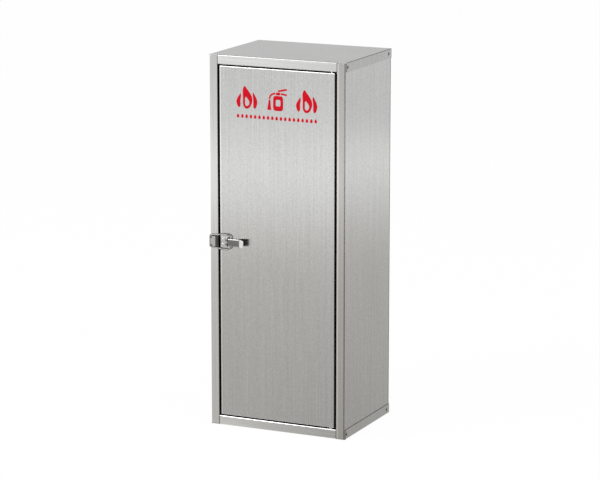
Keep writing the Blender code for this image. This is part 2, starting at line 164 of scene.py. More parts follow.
class Finish:
    """A node tree, either a material's or the world's, with calls that add nodes to it."""

    def __init__(self, owner):
        owner.use_nodes = True
        self.nodes, self.links = owner.node_tree.nodes, owner.node_tree.links
        self.nodes.clear()

    def connect(self, value, socket):
        if isinstance(value, Wire):
            self.links.new(value.socket, socket)
        else:
            socket.default_value = (*value, 1.0) if socket.type == "RGBA" else value

    def add(self, kind, settings=None, *values, output=0, **named):
        """Adds a node, sets its settings, then fills its inputs in order and by name."""
        node = self.nodes.new(kind)
        for key, value in (settings or {}).items():
            setattr(node, key, value)
        for socket, value in zip(node.inputs, values):
            self.connect(value, socket)
        for key, value in named.items():
            self.connect(value, node.inputs[key.replace("_", " ")])
        return Wire(self, node.outputs[output]) if node.outputs else node

    def place(self):
        """The point on the piece, in metres, which stays with the piece when it moves."""
        return self.add("ShaderNodeTexCoord", output="Object")

    def split(self, vector):
        first = self.add("ShaderNodeSeparateXYZ", None, vector)
        return [Wire(self, first.socket.node.outputs[axis]) for axis in range(3)]

    def noise(self, size, detail=2.0, start=0.0):
        """Noise whose lumps are size metres long along X, Y and Z, from 0 to 1."""
        where = self.add("ShaderNodeMapping", None, Vector=self.place(),
                         Location=(start, start, start), Scale=[1 / length for length in size])
        return self.add("ShaderNodeTexNoise", None, Vector=where, Scale=1.0, Detail=detail)

    def grain(self, size, axis, start=0.0, coarse=1.0):
        """Noise with lumps of a width, times coarse, and of a length along one axis."""
        width, length = size
        return self.noise([length if index == axis else width * coarse for index in range(3)],
                          start=start)

    def scaled(self, colour, amount):
        """A colour made lighter or darker by a wire."""
        return self.add("ShaderNodeVectorMath", {"operation": "SCALE"}, colour, Scale=amount)

    def mix(self, amount, first, second):
        node = self.nodes.new("ShaderNodeMix")
        node.data_type = "RGBA"
        for name, value in (("Factor_Float", amount), ("A_Color", first), ("B_Color", second)):
            self.connect(value, next(s for s in node.inputs if s.identifier == name))
        return Wire(self, next(s for s in node.outputs if s.identifier == "Result_Color"))

    def ray_kinds(self):
        """1 for rays from the camera, and 1 for rays that a mirror or glass sent on."""
        path = self.add("ShaderNodeLightPath").socket.node
        mirrored = Wire(self, path.outputs["Is Glossy Ray"]).at_least(
            Wire(self, path.outputs["Is Transmission Ray"]))
        return Wire(self, path.outputs["Is Camera Ray"]), mirrored

    def bump(self, pattern, strength, depth):
        return self.add("ShaderNodeBump", None, Strength=strength, Distance=depth, Height=pattern)

    def principled(self, colour, shade, roughness, relief, **constants):
        """The surface that a material ends in, with its constants on the shader's own sockets."""
        surface = self.add("ShaderNodeBsdfPrincipled", None, Base_Color=self.scaled(colour, shade),
                           Roughness=roughness, Normal=relief, **constants)
        self.add("ShaderNodeOutputMaterial", None, surface)


print("shader maths ready")

# %% [markdown]
# ## World, floor and lamps
# Brushed steel has little colour of its own and shows the studio round it. Here that is a white
# room which is a little lighter at the left and high in front, and a floor that falls into shade
# close to the cabinet and again far off. That is what makes the steel lightest below its top edge
# and darker towards the ground. The camera sees plain white, and the light that falls on paint and
# rubber is even. One rule gives the side to side change to the world and the floor alike.

# %% World
AMBIENT = 0.80
SIDE_FALL = 0.10
BACK_FALL = 0.95
WHITE = (1.0, 1.0, 1.0)

world = bpy.data.worlds.new("white_studio")
bpy.context.scene.world = world
sky = Finish(world)
seen, mirrored = sky.ray_kinds()
across, along, up = sky.split(sky.add("ShaderNodeTexCoord", output="Generated"))
mirror_level = (1 - across * SIDE_FALL) * (1 - up.at_least(0) * along * BACK_FALL)
level = seen + mirrored * (mirror_level - AMBIENT) + (1 - seen) * AMBIENT
sky.add("ShaderNodeOutputWorld", None, sky.add("ShaderNodeBackground", None, WHITE, level))
print("ambient level:", AMBIENT)

# %% Floor
FLOOR_REACH = 30.0
FLOOR_DROP = 0.0002
SHADE_LEVEL, SHADE_RISE, LIGHT_RISE, FAR_FALL = 0.545, 0.070, 0.44, 0.34
SHADE_ENDS, LIGHT_STARTS, LIGHT_ENDS, FAR_STARTS = 1.4, 2.9, 2.8, 3.6
BEHIND_FALL = 0.30
WARM_SHADE = (1.0, 0.985, 0.95)
FLOOR_COLOUR = (0.97, 0.97, 0.97)
CAMERA_SHARE = 0.95


def new_object(name, mesh):
    piece = bpy.data.objects.new(name, mesh)
    bpy.context.scene.collection.objects.link(piece)
    return piece


floor_mesh = bpy.data.meshes.new("floor")
floor_mesh.from_pydata([(x * FLOOR_REACH, y * FLOOR_REACH, -FLOOR_DROP)
                        for x, y in ((-1, -1), (1, -1), (1, 1), (-1, 1))], [], [(0, 1, 2, 3)])
floor = new_object("floor", floor_mesh)
floor_paint = bpy.data.materials.new("pale_floor")
floor_mesh.materials.append(floor_paint)
ground = Finish(floor_paint)
seen, mirrored = ground.ray_kinds()
across, along, _ = ground.split(ground.place())
distance = ground.add("ShaderNodeVectorMath", {"operation": "LENGTH"}, ground.place(),
                      output="Value")
light = distance.between(SHADE_ENDS, LIGHT_STARTS)
far = distance.between(LIGHT_ENDS, FAR_STARTS)
behind = (along / distance).at_least(0)
radial_level = (SHADE_LEVEL + (1 - far) * distance * SHADE_RISE + far * LIGHT_ENDS * SHADE_RISE
                + (light * LIGHT_RISE - far * FAR_FALL) * (1 - behind * BEHIND_FALL))
mirror_level = radial_level * (1 - across / distance * SIDE_FALL)
glow = mirrored * (mirror_level - 1) + 1
tint = ground.mix(mirrored * (1 - light), WHITE, WARM_SHADE)
matt = ground.add("ShaderNodeBsdfDiffuse", None, FLOOR_COLOUR)
shine = ground.add("ShaderNodeEmission", None, tint, glow)
share = seen * CAMERA_SHARE + mirrored
ground.add("ShaderNodeOutputMaterial", None,
           ground.add("ShaderNodeMixShader", None, share, matt, shine))
floor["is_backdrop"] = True
print("floor reaches", FLOOR_REACH, "m")

# %% Lamps
LAMPS = {
    "key": {"place": (-2.2, -2.6, 2.6), "size": 2.0, "power": 55},
    "fill": {"place": (3.0, -1.2, 1.8), "size": 2.4, "power": 26},
}
for name, lamp in LAMPS.items():
    light = bpy.data.lights.new(name, "AREA")
    light.size, light.energy = lamp["size"], lamp["power"]
    stand = bpy.data.objects.new(name, light)
    bpy.context.scene.collection.objects.link(stand)
    stand.location = lamp["place"]
    stand.rotation_euler = (stand.location - middle).to_track_quat("Z", "Y").to_euler()
bpy.context.scene.view_settings.view_transform = "Standard"
print("lamps:", ", ".join(LAMPS))

# %% [markdown]
# ## Brushed sheet steel
# The body is stainless sheet that was brushed in one direction before it was folded. Brushing
# leaves hair-thin lines, streaks a little wider, and short flecks. All are noises squeezed across
# the grain and drawn out along it, and they set the tone; the hairs also set the roughness and a
# very low bump. Wide bands and clouds add the slow changes of rolled sheet. The lines spread a
# reflection across the grain too, which the shader's anisotropy does.
#
# A fold shows as a thin line of painted highlight where it turns to the left or up and of painted
# shade where it turns to the right. The surface's own direction tells where a fold is, because every
# flat lies along an axis. Steel mirrors what is near it, and here that is painted: a piece's tone may
# change slowly along it as a painted reflection, and narrow lines of painted highlight or painted
# shade stand at its seams, corners and edges.

# %% Brushed sheet steel
SHEET_COLOUR = (0.62, 0.62, 0.614)
WARM_STEEL = (0.62, 0.604, 0.585)
HAIR, HAIR_TONE = (0.0008, 0.300), 0.32
STREAK, STREAK_TONE = (0.0014, 0.150), 0.24
FLECK, FLECK_TONE = (0.0016, 0.0028), 0.43
BAND, BAND_TONE = (0.0065, 0.300), 0.025
CLOUD, CLOUD_TONE = 0.120, 0.04
HAIR_GLOSS, CLOUD_GLOSS = 0.08, 0.06
FOLDED, FACING = (0.01, 0.16), (0.1, 0.3)
LINE_WIDTH, LINE_BLUR = 0.0011, 0.0005
LEAST_SHADE = 0.05
STILE_WIDTH = 0.0167
SEAM_X = cad_high.x - STILE_WIDTH


def fold_painted_light(finish, light, dark, below):
    """Painted highlight and painted shade on the folds, which are where the surface looks along no
    axis.

    Light is added as painted highlight, dark is taken off as painted shade where they face right, and
    below is added instead of light where they face down.
    """
    x, y, z = finish.split(finish.add("ShaderNodeTexCoord", output="Normal"))
    along_an_axis = abs(x).at_least(abs(y)).at_least(abs(z))
    folded = (1 - along_an_axis).between(*FOLDED)
    facing_down = (0 - z).between(*FACING)
    return folded * (light - x.between(*FACING) * (light + dark) + facing_down * (below - light))


def painted_light_line(finish, axis, start, end, change):
    """Painted highlight or painted shade between two places along an axis, with soft ends, and none
    outside them.
    """
    along = finish.split(finish.place())[axis]
    return (along.between(start - LINE_BLUR, start) - along.between(end, end + LINE_BLUR)) * change


def steel(name, axis, tone=1.0, folds=(0.60, 0.92, 0.60), slopes=(0, 0, 0), roughness=0.20,
          anisotropy=0.8, turn=0.0, lines=(), coarse=1.0, flecks=FLECK_TONE, colour=SHEET_COLOUR):
    """Brushed steel with its grain along an axis.

    The tone is that at the origin, and slopes are its change a metre along X, Y and Z, a painted
    reflection. A tone other than 1 makes a painted lit or shaded copy of the steel. Folds are the
    light, dark and below of their painted highlight and painted shade. Each line is an axis, where
    along it the line starts and ends, and its change of tone, a painted highlight or painted shade.
    Coarse widens the lines of the grain, flecks is how much the short ones change the tone, and turn
    is that of the anisotropy, in whole turns.
    """
    material = bpy.data.materials.new(name)
    finish = Finish(material)
    hair = finish.grain(HAIR, axis, start=0.0, coarse=coarse)
    streak = finish.grain(STREAK, axis, start=3.0, coarse=coarse)
    fleck = finish.grain(FLECK, axis, start=9.0, coarse=coarse)
    band = finish.grain(BAND, axis, start=5.0)
    cloud = finish.noise([CLOUD] * 3, start=7.0)
    # The slopes are a painted reflection: the tone changes along the piece by its place.
    change = finish.add("ShaderNodeVectorMath", {"operation": "DOT_PRODUCT"}, finish.place(),
                        slopes, output="Value")
    shade = (tone + change + hair.swing(HAIR_TONE) + streak.swing(STREAK_TONE)
             + fleck.swing(flecks) + band.swing(BAND_TONE) + cloud.swing(CLOUD_TONE)
             + fold_painted_light(finish, *folds))
    for line in lines:
        shade = shade + painted_light_line(finish, *line)
    gloss = roughness + hair.swing(HAIR_GLOSS) + cloud.swing(CLOUD_GLOSS)
    finish.principled(colour, shade.at_least(LEAST_SHADE), gloss,
                      finish.bump(hair, strength=0.2, depth=0.00002), Metallic=1.0,
                      Anisotropic=anisotropy, Anisotropic_Rotation=turn)
    return material


QUARTER_TURN = 0.25
CORNER, EDGE = 0.0030, 0.0024
SEAM_SHADE = -0.8
# The lines below are painted: the seams beside the stiles, the stiles' top ends and the right stile's
# foot and outer corner take painted shade, and the right stile's inner edge and the door's left edge
# a painted highlight.
top_line = (Z, cad_high.z - LINE_WIDTH, cad_high.z)
foot_line = (Z, cad_low.z, cad_low.z + LINE_WIDTH)
corner_line = (X, cad_high.x - CORNER, cad_high.x)
inner_line = (X, SEAM_X, SEAM_X + EDGE)
seams = [(X, SEAM_X - LINE_WIDTH, SEAM_X, SEAM_SHADE),
         (X, -SEAM_X, LINE_WIDTH - SEAM_X, SEAM_SHADE)]
door_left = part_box("door_panel")[0].x
door_line = (X, door_left, door_left + EDGE)

# Painted light: the left stile, the cap's edge and the tray's edge are lit copies of the steel, and
# the right stile (also warmer), the cap's sides and the top plate are shaded copies. The slopes are
# painted reflections along the stiles, the cap and the tray, and the cap's upward folds are painted
# shade instead of highlight.
upright_steel = steel("upright_brushed_steel", Z, coarse=2.2)
back_steel = steel("back_brushed_steel", Z)
left_stile_steel = steel("left_stile_steel", Z, tone=1.22, slopes=(0, 0, -0.28), flecks=0.2,
                         lines=[(*top_line, -0.6)])
right_stile_steel = steel("right_stile_steel", Z, tone=0.98, slopes=(0, 0, -0.24), flecks=0.2,
                          lines=[(*top_line, -0.8), (*foot_line, -0.8), (*corner_line, -0.9),
                                 (*inner_line, 0.35)], colour=WARM_STEEL)
cap_steel = steel("cap_edge_steel", X, tone=1.09, folds=(-0.85, 0.10, 0.60), flecks=0.15,
                  slopes=(-0.7, 0, 0), turn=QUARTER_TURN, lines=seams)
cap_side_steel = steel("cap_side_steel", Z, tone=0.86)
tray_steel = steel("tray_edge_steel", X, tone=1.14, folds=(0.40, 0.92, 0.60), flecks=0.2,
                   slopes=(-1.5, 0, 0), turn=QUARTER_TURN, lines=seams)
top_steel = steel("top_brushed_steel", X, tone=0.80, folds=(0, 0, 0), roughness=0.32,
                  anisotropy=0.0)
door_steel = steel("door_brushed_steel", Z, lines=[(*door_line, 0.45)])
print("brushed finishes: 9")

# %% [markdown]
# ## Mill finish and sheared edges
# The brushing is on the outer side only. Inside, the sheet keeps the dull grey skin that it had from
# the rolling mill. Where a sheet was sheared, its one millimetre edge is rougher and darker still.
# The narrow returns that face the gap round the door have a mill finish painted near black, which is
# painted shade in the gap.

# %% Mill finish and sheared edges
SPECKLE, SPECKLE_TONE, SPECKLE_GLOSS = 0.0007, 0.16, 0.12
MILL_CLOUD, MILL_CLOUD_TONE = 0.045, 0.14


def mill_steel(name, grey, roughness):
    """Unbrushed steel: fine even speckle, soft clouds and no direction."""
    material = bpy.data.materials.new(name)
    finish = Finish(material)
    speckle = finish.noise([SPECKLE] * 3, 3.0)
    cloud = finish.noise([MILL_CLOUD] * 3, start=4.0)
    shade = 1 + speckle.swing(SPECKLE_TONE) + cloud.swing(MILL_CLOUD_TONE)
    finish.principled([grey] * 3, shade, roughness + speckle.swing(SPECKLE_GLOSS),
                      finish.bump(speckle, strength=0.2, depth=0.00003), Metallic=1.0)
    return material


inner_steel = mill_steel("inner_mill_steel", 0.46, 0.36)
# Painted shade: the returns in the door gap are painted near black for the shade in the gap.
return_steel = mill_steel("gap_return_steel", 0.20, 0.42)
sheared_steel = mill_steel("sheared_edge_steel", 0.24, 0.48)
print("mill finishes: 3")

# %% [markdown]
# ## Latch finishes
# The latch is pressed from bright sheet and its loop is drawn wire, both tumbled smooth. In the
# photograph the lever's flat face, the ramp of the strike and the sides of the barrel are dark,
# because each mirrors something dark that stands before it, while rounded edges and the finger tab
# catch the light. A face can't mirror what isn't there, so those faces have darker finishes that
# paint the dark reflection, and the tab a bright one that paints its highlight. The lever's inner
# side and the barrel's front are painted dark as shade too, and the wire is painted darker where it
# faces up or down. Painted highlight lines mark the lever's upper edge and the knuckles, and a
# painted shade line the leaf at the barrel.

# %% Latch finishes
RIPPLE_TONE, SCRATCH_TONE, PRESSED_GLOSS = 0.14, 0.16, 0.08
PRESSED_TINT = (1, 0.99, 0.965)
RIM_RISE = (0.25, 0.70)
LEVER_LINE, KNUCKLE_LINE, LEAF_SHADE = 0.0004, 0.0008, 0.0045
KNUCKLE_RISE, KNUCKLE_LIGHT = 0.0072, 0.0012


def pressed_steel(name, grey, roughness, lump=0.003, rims=0.0, lines=()):
    """Bright steel with the faint ripple and fine scratches that pressing and use leave.

    Lump is the size of the ripple, rims is how much painted shade darkens it where it faces up or
    down, and lines are the painted highlight and shade lines as on brushed steel.
    """
    material = bpy.data.materials.new(name)
    finish = Finish(material)
    ripple = finish.noise([lump] * 3, 3.0)
    scratch = finish.grain((lump / 8, lump * 2), X, start=5.0)
    shade = 1 + ripple.swing(RIPPLE_TONE) + scratch.swing(SCRATCH_TONE)
    # Painted shade where the surface faces up or down.
    if rims:
        rise = finish.split(finish.add("ShaderNodeTexCoord", output="Normal"))[Z]
        shade = shade - abs(rise).between(*RIM_RISE) * rims
    for line in lines:
        shade = shade + painted_light_line(finish, *line)
    gloss = roughness + ripple.swing(PRESSED_GLOSS) + scratch.swing(PRESSED_GLOSS)
    finish.principled([grey * part for part in PRESSED_TINT], shade, gloss,
                      finish.bump(ripple, strength=0.15, depth=0.00004), Metallic=1.0)
    return material


barrel_x, _, barrel_z = frame["record"]["behaviour"]["joints"][1]["pos_m"]
lever_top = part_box("latch_lever")[1].z
# Painted highlight lines run along the lever's top edge and the knuckles and light the two outer
# knuckles, and a painted shade line darkens the leaf beside the barrel.
lever_line = (Z, lever_top - LEVER_LINE, lever_top)
knuckle_line = (X, barrel_x - KNUCKLE_LINE, barrel_x)
leaf_line = (X, barrel_x - LEAF_SHADE, barrel_x)
knuckle_lights = [(Z, barrel_z + side * KNUCKLE_RISE - KNUCKLE_LIGHT,
                   barrel_z + side * KNUCKLE_RISE + KNUCKLE_LIGHT, 5.0) for side in (-1, 1)]

# Painted light: the tab's bright steel is a painted highlight, and the dark face, inner side, ramp
# and barrel finishes are painted reflection and painted shade.
bright_steel = pressed_steel("bright_pressed_steel", 0.90, 0.20)
plain_steel = pressed_steel("plain_pressed_steel", 0.52, 0.26, lines=[(*knuckle_line, 0.9)])
lever_face_steel = pressed_steel("dark_lever_face", 0.20, 0.22,
                                 lines=[(*lever_line, 1.3), (*knuckle_line, 3.0)])
lever_inner_steel = pressed_steel("dark_lever_inner_side", 0.07, 0.30)
ramp_steel = pressed_steel("dark_ramp_face", 0.13, 0.28)
barrel_steel = pressed_steel("barrel_steel", 0.13, 0.28, lines=knuckle_lights)
barrel_side_steel = pressed_steel("dark_barrel_side", 0.17, 0.22)
leaf_steel = pressed_steel("base_leaf_steel", 0.56, 0.26, lines=[(*leaf_line, -0.85)])
# The wire's upper and lower sides are painted darker as shade.
wire_steel = pressed_steel("drawn_wire_steel", 0.36, 0.22, 0.002, rims=0.85)
# The strike's rivets are painted near black as shade.
rivet_steel = pressed_steel("dark_rivet_steel", 0.05, 0.30, 0.0015)
print("latch finishes: 10")

# %% [markdown]
# ## Rubber
# The strip that the door closes on is matt black rubber with fine pores and a dusty bloom.

# %% Rubber
RUBBER_COLOUR = (0.010, 0.010, 0.011)
rubber = bpy.data.materials.new("black_rubber")
soft = Finish(rubber)
pores = soft.noise([0.0015] * 3, 3.0)
soft.principled(RUBBER_COLOUR, 0.7 + pores * 0.6, 0.70 + pores * 0.2,
                soft.bump(pores, strength=0.3, depth=0.0001), Specular_IOR_Level=0.25)
print("rubber ready")

# %% [markdown]
# ## Sheets with soft folds
# A packed sheet is a set of loose triangles with hard shading. A copy of it has its points joined
# and its flat triangles melted into whole faces. Then its cut edges get the small rounding that
# deburring leaves, and its folds are shaded as the smooth curves that they are. The rounding takes
# its normals from the flats, so the flats stay flat. Each whole face can then take its own finish,
# picked by where it lies and which way it looks.

# %% Finished copies
MERGE = 0.00001
FLAT = math.radians(0.5)
CREASE = math.radians(40)
DEBURR = 0.00012


def joined_copy(node):
    """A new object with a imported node's shape, its points joined and its flats whole."""
    name = node + "_finished"
    bm = bmesh.new()
    bm.from_mesh(frame["nodes"][node].data)
    bmesh.ops.remove_doubles(bm, verts=bm.verts, dist=MERGE)
    bmesh.ops.dissolve_limit(bm, angle_limit=FLAT, verts=bm.verts, edges=bm.edges)
    mesh = bpy.data.meshes.new(name)
    bm.to_mesh(mesh)
    bm.free()
    for layer in ("custom_normal", "sharp_face"):
        if layer in mesh.attributes:
            mesh.attributes.remove(mesh.attributes[layer])
    mesh.materials.clear()
    return new_object(name, mesh)


def deburr(piece, width):
    """Smooth folds, and a narrow rounding on every cut edge."""
    piece.data.shade_smooth()
    piece.data.set_sharp_from_angle(angle=CREASE)
    rounding = piece.modifiers.new("deburred edges", "BEVEL")
    rounding.width = width
    rounding.segments = 2
    rounding.limit_method = "ANGLE"
    rounding.angle_limit = CREASE
    shading = piece.modifiers.new("flats stay flat", "WEIGHTED_NORMAL")
    shading.keep_sharp = True


def settle(piece, body):
    """A piece moves with a body."""
    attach(piece, body)


def dress(piece, node, body, materials, width=DEBURR):
    """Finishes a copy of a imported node, which it then stands for."""
    deburr(piece, width)
    for material in materials:
        piece.data.materials.append(material)
    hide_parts(node)
    settle(piece, body)


def faces_of(piece):
    """Direction and centre of each face, as two arrays with a column a face."""
    rows = len(piece.data.polygons)
    directions, centres = np.empty(rows * 3, np.float32), np.empty(rows * 3, np.float32)
    piece.data.polygons.foreach_get("normal", directions)
    piece.data.polygons.foreach_get("center", centres)
    return directions.reshape(-1, 3).T, centres.reshape(-1, 3).T


def paint_faces(piece, *choices):
    """Gives each face the finish of the first choice that holds, counted from 1, or else 0."""
    index = np.select(choices, range(1, len(choices) + 1), 0)
    piece.data.polygons.foreach_set("material_index", index.astype(np.int32))


print("copies ready")

# %% [markdown]
# ## Side, back and door sheets
# Each side panel is one sheet with a front stile folded from it. It is brushed outside, the stiles
# have a finish each, the left one painted lit and the right one painted shaded, the returns in the
# gap are painted darker as shade and the inside keeps the mill finish. The door is brushed in front,
# its folded rim faces the gap and carries the same painted shade, and its back is mill steel.

# %% Side, back and door sheets
HAIRLINE = 0.0002
FRONT_ON, ALONG_AXIS, MOSTLY, AT_ALL = 0.99, 0.9, 0.5, 0.1
front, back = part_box("top_cap")[0].y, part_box("top_cap")[1].y
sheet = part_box("back_panel")[1].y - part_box("back_panel")[0].y

for side, stile_steel in (("left", left_stile_steel), ("right", right_stile_steel)):
    node = side + "_side_panel"
    piece = joined_copy(node)
    facing, at = faces_of(piece)
    low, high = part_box(node)
    outer = max(abs(low.x), abs(high.x))
    on_stile = (facing[Y] < -FRONT_ON) & (at[Y] < front + HAIRLINE)
    outside = ((np.abs(at[X]) > outer - 2 * sheet) & (facing[X] * at[X] > 0)) | (
        (at[Y] > high.y - sheet / 2) & (facing[Y] > 0))
    on_fold = (at[Y] < front + 2 * sheet) & (facing[Y] < 0)
    in_gap = (np.abs(facing[X]) > ALONG_AXIS) & ~outside & (at[Y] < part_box("door_panel")[1].y)
    # The returns in the gap take the painted shade of the gap.
    paint_faces(piece, on_stile, in_gap & ~on_fold, ~(outside | on_fold))
    dress(piece, node, "cabinet",
          [upright_steel, stile_steel, return_steel, inner_steel])

piece = joined_copy("back_panel")
facing, _ = faces_of(piece)
paint_faces(piece, facing[Y] < -ALONG_AXIS)
dress(piece, "back_panel", "cabinet", [back_steel, inner_steel])

piece = joined_copy("door_panel")
facing, at = faces_of(piece)
door_low, door_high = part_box("door_panel")
edge = ((at[X] < door_low.x + HAIRLINE) | (at[X] > door_high.x - HAIRLINE)
        | (at[Z] < door_low.z + HAIRLINE) | (at[Z] > door_high.z - HAIRLINE))
outside = (facing[Y] < -AT_ALL) & (at[Y] < front + sheet / 2)
# The door's rim takes the painted shade of the gap.
paint_faces(piece, edge, ~outside)
dress(piece, "door_panel", "door", [door_steel, return_steel, inner_steel])
print("sheets finished: 4")

# %% [markdown]
# ## Cap and base tray
# Both are folded from one sheet each. Their grain runs from side to side across the plate and over
# the front edge, and at the sides it goes on down over the fold, so the side edges have upright
# grain. Each side edge has two countersunk holes, near the front and the rear, for the screws that
# hold it to the body. They are cut into the finished copies, because screws are looks here.

# %% Cap and base tray
SCREW_FRONT, SCREW_REAR = 0.008, 0.015
SCREW_SETBACK = 0.0087
HEAD_RADIUS, HEAD_FOOT = 0.0028, 0.0023
HOLE_PLAY = 0.00015
HEAD_SINK = 0.0002
HEAD_DEPTH = 0.0007
HOLE_SIDES = 48


def screw_places(node):
    """Centres of a tray's four screws on its side edges, with the side as 1 or -1."""
    height = cad_high.z - SCREW_SETBACK if node == "top_cap" else cad_low.z + SCREW_SETBACK
    return [(side, y, height) for side in (-1, 1) for y in (front + SCREW_FRONT, back - SCREW_REAR)]


def countersunk(piece, places):
    """Cuts a conical hole through the side edge at each place, and keeps the result."""
    slope = (HEAD_RADIUS - HEAD_FOOT) / HEAD_DEPTH
    reach = 2 * sheet
    radius = HEAD_RADIUS + HOLE_PLAY + slope * HEAD_SINK
    bm = bmesh.new()
    for side, y, z in places:
        turn = Matrix.Rotation(side * math.pi / 2, 4, "Y")
        place = Matrix.Translation((side * cad_high.x, y, z))
        bmesh.ops.create_cone(bm, cap_ends=True, segments=HOLE_SIDES, depth=reach,
                              radius1=radius - slope * reach / 2,
                              radius2=radius + slope * reach / 2, matrix=place @ turn)
    cutter = new_object("countersinks", bpy.data.meshes.new("countersinks"))
    bm.to_mesh(cutter.data)
    bm.free()
    hole = piece.modifiers.new("holes", "BOOLEAN")
    hole.operation, hole.solver, hole.object = "DIFFERENCE", "EXACT", cutter
    cut = bpy.data.meshes.new_from_object(
        piece.evaluated_get(bpy.context.evaluated_depsgraph_get()))
    piece.modifiers.clear()
    bpy.data.objects.remove(cutter)
    piece.data = cut
    return piece


for node, edge_steel, side_steel in (("top_cap", cap_steel, cap_side_steel),
                                     ("bottom_tray", tray_steel, upright_steel)):
    piece = countersunk(joined_copy(node), screw_places(node))
    facing, at = faces_of(piece)
    low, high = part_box(node)
    rim = high.z if node == "bottom_tray" else low.z
    across = np.abs(facing[X])
    level = np.abs(facing[Z]) > ALONG_AXIS
    at_side = np.abs(at[X]) > cad_high.x - 2 * sheet
    from_rim = np.abs(at[Z] - rim)
    beside = at_side & (across > MOSTLY)
    sheared = level & (from_rim < HAIRLINE) & (at_side | (at[Y] > back - 2 * sheet))
    ends = (across > ALONG_AXIS) & (np.abs(at[X]) < cad_high.x - 2 * sheet)
    lip = level & (from_rim < 2 * sheet) & (at[Y] < 0)
    # The lip under the front edge faces the gap and takes its painted shade, and the top plate is a
    # painted shaded copy of the steel.
    paint_faces(piece, sheared | ends, beside, lip, level)
    dress(piece, node, "cabinet",
          [edge_steel, sheared_steel, side_steel, return_steel, top_steel])
    print(node, "holes:", len(screw_places(node)), "faces:", len(piece.data.polygons))

# %% [markdown]
# ## Seal and pivots
# The rubber strip has soft corners. The door turns on two bright pins at its right, and a washer
# carries it on the lower one.

# %% Seal and pivots
SEAL_ROUNDING = 0.0004
dress(joined_copy("door_seal"), "door_seal", "cabinet", [rubber], SEAL_ROUNDING)
for node in ("upper_pivot_pin", "lower_pivot_pin", "pivot_washer"):
    dress(joined_copy(node), node, "cabinet", [bright_steel])
print("seal and pivots finished: 4")

# %% [markdown]
# ## Surfaces from numpy
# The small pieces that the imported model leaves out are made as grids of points. A grid is worked
# out as whole arrays from two parameters, its quads come from the numbering of its rows and
# columns, and the points that meet at a pole are joined afterwards.


# %% Surfaces from numpy
def grid_quads(rows, columns, closed):
    """Corners of a grid's quads; a closed grid's last column is beside its first."""
    row = np.arange(rows - 1)[:, None] * columns
    column = np.arange(columns if closed else columns - 1)[None, :]
    beside = (column + 1) % columns
    corners = (row + column, row + beside, row + columns + beside, row + columns + column)
    return np.stack(corners, axis=-1).reshape(-1, 4)


def surface(name, grids, material, closed=True):
    """One object from grids of points, with its poles joined and its faces outwards."""
    quads, points, start = [], [], 0
    for grid in grids:
        quads.append(grid_quads(*grid.shape[:2], closed) + start)
        points.append(grid.reshape(-1, 3))
        start += len(points[-1])
    mesh = bpy.data.meshes.new(name)
    mesh.from_pydata(np.concatenate(points).tolist(), [], np.concatenate(quads).tolist())
    bm = bmesh.new()
    bm.from_mesh(mesh)
    bmesh.ops.remove_doubles(bm, verts=bm.verts, dist=MERGE / 10)
    bmesh.ops.recalc_face_normals(bm, faces=bm.faces)
    bm.to_mesh(mesh)
    bm.free()
    mesh.shade_smooth()
    mesh.set_sharp_from_angle(angle=CREASE)
    mesh.materials.append(material)
    return new_object(name, mesh)


def smooth_step(values, low, high):
    share = np.clip((values - low) / (high - low), 0, 1)
    return share * share * (3 - 2 * share)


print("grids ready")

# %% [markdown]
# ## Countersunk screws
# Eight flush cross-head screws hold the cap and the tray. A head is a slightly domed disc with a
# cross pressed into it, which a polar grid gives: rings from the middle outwards, then down the
# cone to a closed foot.

# %% Countersunk screws
RINGS, SPOKES = 20, 72
DOME = 0.00008
CROSS_REACH, CROSS_HALF, CROSS_DEPTH = 0.0017, 0.00042, 0.00045
CROSS_WALL = 0.00016


def screw_head(side, y, z):
    """Height over the disc: a low dome, less the cross, whose arms are two crossed rounded bars.

    The cross at (u, v) is as deep as the nearer arm is: full inside the bar, 0 beyond its wall.
    """
    ring = np.linspace(0, HEAD_RADIUS, RINGS)[:, None]
    angle = np.linspace(0, 2 * np.pi, SPOKES, endpoint=False)[None, :]
    u, v = ring * np.cos(angle + np.pi / 4), ring * np.sin(angle + np.pi / 4)
    arms = [smooth_step(CROSS_REACH - abs(a), 0, CROSS_WALL)
            * smooth_step(CROSS_HALF - abs(b), 0, CROSS_WALL) for a, b in ((u, v), (v, u))]
    face = DOME * (1 - (ring / HEAD_RADIUS) ** 2) - CROSS_DEPTH * np.maximum(*arms)
    height = np.concatenate([face, np.full((2, SPOKES), -HEAD_DEPTH)])
    radius = np.concatenate([ring, [[HEAD_FOOT], [0]]])
    x = side * (cad_high.x - HEAD_SINK + height)
    return np.stack([x, y + radius * np.cos(angle), z + radius * np.sin(angle)], axis=-1)


# The heads are painted near black, a painted shade for their recessed cross.
screw_steel = pressed_steel("screw_steel", 0.09, 0.34, 0.0015)
for node in ("top_cap", "bottom_tray"):
    heads = [screw_head(*place) for place in screw_places(node)]
    settle(surface(node + "_screws", heads, screw_steel), "cabinet")
print("screws:", 2 * len(screw_places("top_cap")))

# %% [markdown]
# ## Latch
# The latch is a draw latch. A lever with a finger tab swings on a riveted barrel on the door, and
# carries a wire loop that hooks behind a bridge on the stile. Its pressed parts keep their packed
# shape. The lever's face, the bridge's ramp and the barrel take darker finishes, which are painted
# reflection and painted shade, and the tab the bright one, a painted highlight.

# %% Pressed latch parts
LATCH_DEBURR = 0.00016
TAB_REACH = 0.0105
BARREL_HALF = 0.003
FLAT_ON, STEEPLY, PARTLY = 0.98, 0.7, 0.3

piece = joined_copy("strike")
facing, _ = faces_of(piece)
# The ramp is painted dark as reflection.
paint_faces(piece, facing[X] > MOSTLY)
dress(piece, "strike", "cabinet", [plain_steel, ramp_steel], LATCH_DEBURR)

piece = joined_copy("latch_lever")
facing, at = faces_of(piece)
before_tab = at[X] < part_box("latch_lever")[1].x - TAB_REACH
